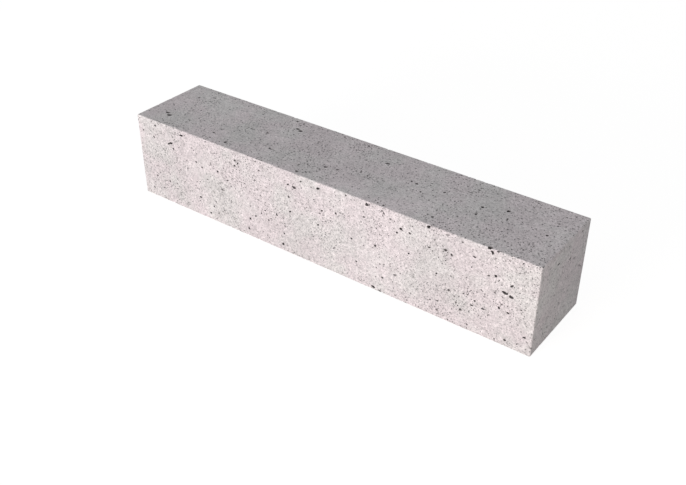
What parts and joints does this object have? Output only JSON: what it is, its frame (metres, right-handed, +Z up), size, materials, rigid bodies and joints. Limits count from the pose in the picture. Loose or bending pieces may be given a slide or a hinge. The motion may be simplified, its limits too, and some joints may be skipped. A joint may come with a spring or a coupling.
{
  "type": "concrete stacking block",
  "caption": "Solid square-section cast concrete stacking block with pitted faces and eased edges, laid flat in courses to build low garden walls and edgings.",
  "frame": {"origin": "centre of the bed face, the underside that the block lies on", "axes": "+X along the length to the right-hand end, +Y from the front face to the back face, +Z up from the bed face to the top face"},
  "size_m": [0.75, 0.15, 0.15],
  "materials": {
    "cast_concrete": "matte"
  },
  "bodies": {
    "root": {"concrete_block": "cast_concrete"}
  },
  "joints": []
}
